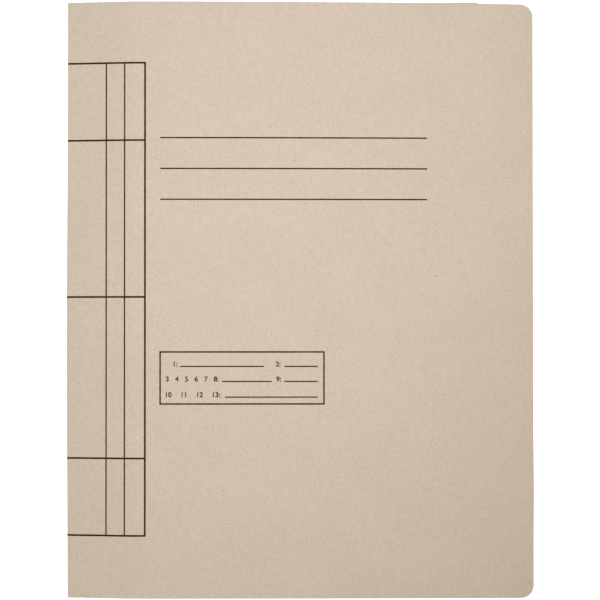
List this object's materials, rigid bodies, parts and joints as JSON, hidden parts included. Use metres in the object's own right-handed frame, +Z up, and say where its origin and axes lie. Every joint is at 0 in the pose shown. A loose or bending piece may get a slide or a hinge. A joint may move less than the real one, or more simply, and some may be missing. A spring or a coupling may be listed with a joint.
{
  "type": "file folder",
  "caption": "Creased board file folder, closed: bowed front cover, narrow spine, back cover, and inside a prong fastener with a bar and sliding clips.",
  "frame": {"origin": "under the middle of the closed folder, on the surface that its back cover lies on", "axes": "+Z up out of the front cover, +Y towards the folder's top edge, -X towards the spine"},
  "size_m": [0.2396, 0.306, 0.0082],
  "materials": {
    "manila_board": "matte",
    "tinplate": "satin",
    "plated_steel": "satin",
    "brass": "satin"
  },
  "bodies": {
    "back": {"back_cover": "manila_board", "filing_strip": "manila_board", "prong_strip": "tinplate", "eyelet_top": "brass", "eyelet_bottom": "brass", "compressor_bar": "plated_steel"},
    "spine": {"spine": "manila_board"},
    "margin": {"cover_margin": "manila_board"},
    "cover": {"front_cover": "manila_board"},
    "slider_top": {"slider_top": "plated_steel"},
    "slider_bottom": {"slider_bottom": "plated_steel"}
  },
  "joints": [
    {"name": "spine_fold", "type": "hinge", "parent": "back", "child": "spine", "pos_m": [-0.1191, 0, 0.0002], "axis": [0, -1, 0], "range_deg": [0, 90]},
    {"name": "cover_fold", "type": "hinge", "parent": "spine", "child": "margin", "pos_m": [-0.1191, 0, 0.00228], "axis": [0, -1, 0], "range_deg": [0, 80]},
    {"name": "soft_crease_fold", "type": "hinge", "parent": "margin", "child": "cover", "pos_m": [-0.0866, 0, 0.00801], "axis": [0, -1, 0], "range_deg": [0, 10]},
    {"name": "slider_top_slide", "type": "slide", "parent": "back", "child": "slider_top", "axis": [0, -1, 0], "range_m": [-0.012, 0.014]},
    {"name": "slider_bottom_slide", "type": "slide", "parent": "back", "child": "slider_bottom", "axis": [0, 1, 0], "range_m": [-0.012, 0.014]}
  ]
}
